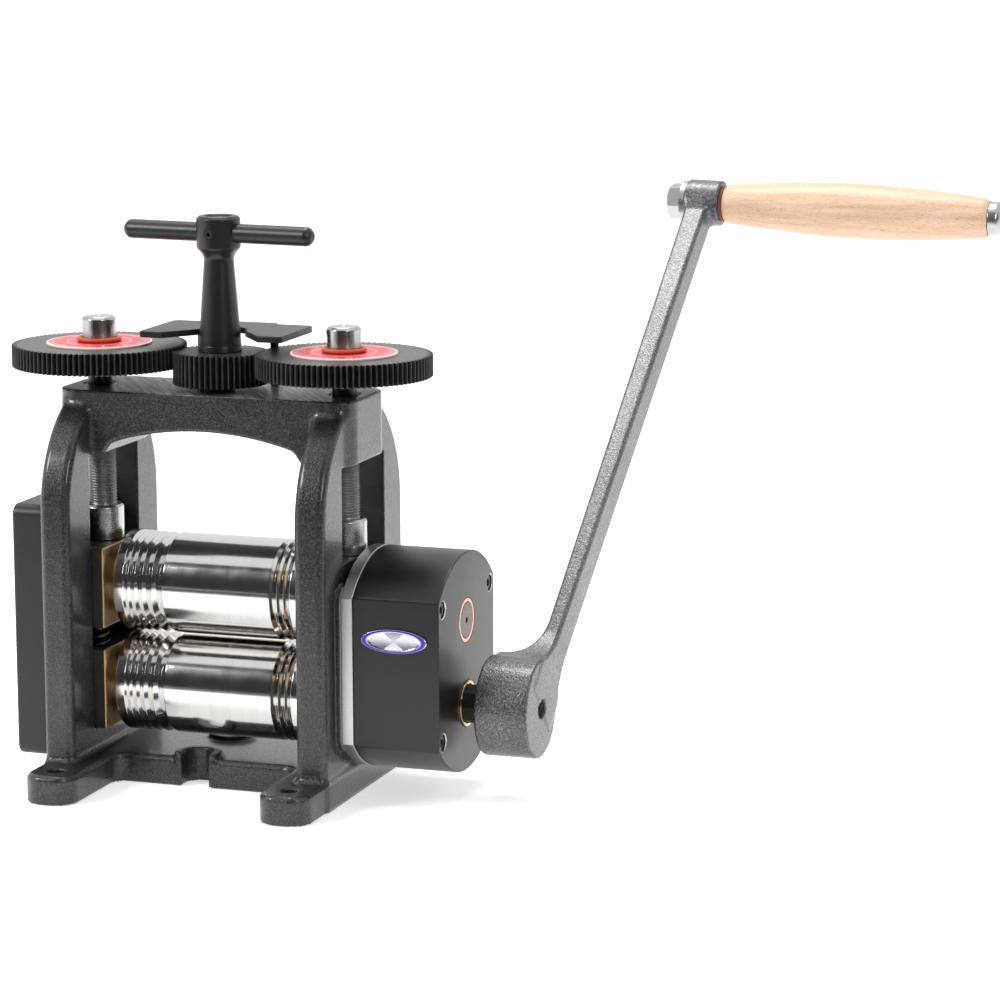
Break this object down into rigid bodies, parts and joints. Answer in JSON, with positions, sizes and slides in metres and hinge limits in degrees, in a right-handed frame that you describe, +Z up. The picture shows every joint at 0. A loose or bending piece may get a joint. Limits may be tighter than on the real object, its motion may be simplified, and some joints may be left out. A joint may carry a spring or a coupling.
{
  "type": "jewellers rolling mill",
  "caption": "Hand cranked bench rolling mill: grooved steel rolls in a cast frame, closed by geared pressure screws, turned through a reduction gearbox.",
  "frame": {"origin": "middle of the underside of the base, on the bench top", "axes": "+X along the rolls towards the crank, +Y to the back, +Z up"},
  "size_m": [0.4944, 0.3955, 0.3113],
  "materials": {
    "casting_paint": "dark grey hammertone paint on a rough casting",
    "crank_paint": "silver grey hammertone paint",
    "black_housing": "satin black coating",
    "black_oxide": "semi-gloss black oxide",
    "roll_steel": "mirror polished hardened steel",
    "plain_steel": "turned bright steel",
    "zinc_steel": "zinc plated",
    "backplate_aluminium": "milled bare aluminium",
    "bronze": "machined bearing bronze",
    "copper_ring": "turned copper coloured bush",
    "spring_steel": "oiled dark spring wire",
    "red_label": "glossy pink red printed disc with a pale rim",
    "red_rubber": "orange red rubber ring",
    "red_fibre": "reddish brown fibre washer",
    "badge_chrome": "polished plate with a blue violet rim",
    "beech": "pale turned beech, clear varnish"
  },
  "bodies": {
    "frame": {"frame_casting": "casting_paint", "lower_bearing_left": "bronze", "lower_bearing_right": "bronze", "gearbox_backplate": "backplate_aluminium", "gearbox_housing": "black_housing", "gearbox_screw_1": "black_oxide", "gearbox_screw_2": "black_oxide", "gearbox_screw_3": "black_oxide", "gearbox_screw_4": "black_oxide", "crank_bush": "bronze", "counter_bush_outer": "copper_ring", "counter_bush_inner": "bronze", "badge_plate": "badge_chrome", "left_cover": "black_housing", "cover_screw_1": "black_oxide", "cover_screw_2": "black_oxide", "cover_screw_3": "black_oxide", "cover_screw_4": "black_oxide", "index_plate": "black_oxide", "index_post_left": "black_oxide", "index_post_right": "black_oxide", "spring_left_front": "spring_steel", "spring_left_back": "spring_steel", "spring_right_front": "spring_steel", "spring_right_back": "spring_steel"},
    "tee_handle": {"tee_stem": "black_oxide", "pinion_gear": "black_oxide", "tee_bar": "black_oxide", "tee_grub_screw": "black_oxide"},
    "carriage": {"upper_bearing_left": "bronze", "upper_bearing_right": "bronze", "screw_foot_left": "plain_steel", "screw_foot_right": "plain_steel"},
    "left_screw": {"pressure_screw_left": "plain_steel", "dial_gear_left": "black_oxide", "dial_label_left": "red_label", "dial_oring_left": "red_rubber", "dial_cap_left": "plain_steel"},
    "right_screw": {"pressure_screw_right": "plain_steel", "dial_gear_right": "black_oxide", "dial_label_right": "red_label", "dial_oring_right": "red_rubber", "dial_cap_right": "plain_steel"},
    "upper_roll": {"upper_roll": "roll_steel", "upper_roll_gear": "plain_steel", "upper_gear_screw": "black_oxide"},
    "lower_roll": {"lower_roll": "roll_steel", "lower_roll_gear": "plain_steel", "lower_gear_screw": "black_oxide", "output_gear": "plain_steel"},
    "countershaft": {"counter_shaft": "plain_steel", "counter_gear": "plain_steel"},
    "crank": {"crank_shaft": "black_oxide", "crank_arm": "crank_paint", "crank_bolt": "black_oxide", "handle_rod": "plain_steel", "handle_nut": "zinc_steel", "handle_washer": "zinc_steel", "fibre_washer": "red_fibre"},
    "grip": {"handle_grip": "beech"}
  },
  "joints": [
    {"name": "crank_turn", "type": "hinge", "parent": "frame", "child": "crank", "pos_m": [0, 0, 0.0513], "axis": [1, 0, 0], "continuous": true},
    {"name": "countershaft_turn", "type": "hinge", "parent": "frame", "child": "countershaft", "pos_m": [0, 0, 0.0973], "axis": [1, 0, 0], "continuous": true},
    {"name": "lower_roll_turn", "type": "hinge", "parent": "frame", "child": "lower_roll", "pos_m": [0, 0, 0.0513], "axis": [1, 0, 0], "continuous": true},
    {"name": "tee_handle_turn", "type": "hinge", "parent": "frame", "child": "tee_handle", "pos_m": [0, 0, 0.217], "axis": [0, 0, 1], "range_deg": [-361, 2257]},
    {"name": "roll_gap", "type": "slide", "parent": "frame", "child": "carriage", "axis": [0, 0, 1], "range_m": [-0.0008, 0.005], "stiffness_N_per_m": 3000, "springref_m": 0.0142, "deforming": ["spring_left_front", "spring_left_back", "spring_right_front", "spring_right_back"]},
    {"name": "upper_roll_turn", "type": "hinge", "parent": "carriage", "child": "upper_roll", "pos_m": [0, 0, 0.1078], "axis": [1, 0, 0], "continuous": true},
    {"name": "left_screw_turn", "type": "hinge", "parent": "carriage", "child": "left_screw", "pos_m": [-0.072, 0, 0.2], "axis": [0, 0, 1], "range_deg": [-1202, 194]},
    {"name": "right_screw_turn", "type": "hinge", "parent": "carriage", "child": "right_screw", "pos_m": [0.072, 0, 0.2], "axis": [0, 0, 1], "range_deg": [-1202, 194]},
    {"name": "grip_spin", "type": "hinge", "parent": "crank", "child": "grip", "pos_m": [0.19709, 0.29048, 0.29591], "axis": [0.9994, -0.0274, -0.023], "continuous": true}
  ],
  "couplings": [
    {"joint": "countershaft_turn", "follows": "crank_turn", "ratio": -0.48387},
    {"joint": "lower_roll_turn", "follows": "crank_turn", "ratio": 0.25806},
    {"joint": "upper_roll_turn", "follows": "crank_turn", "ratio": -0.25806},
    {"joint": "tee_handle_turn", "follows": "roll_gap", "rad_per_m": 7875.3},
    {"joint": "left_screw_turn", "follows": "roll_gap", "rad_per_m": -4189},
    {"joint": "right_screw_turn", "follows": "roll_gap", "rad_per_m": -4189}
  ]
}
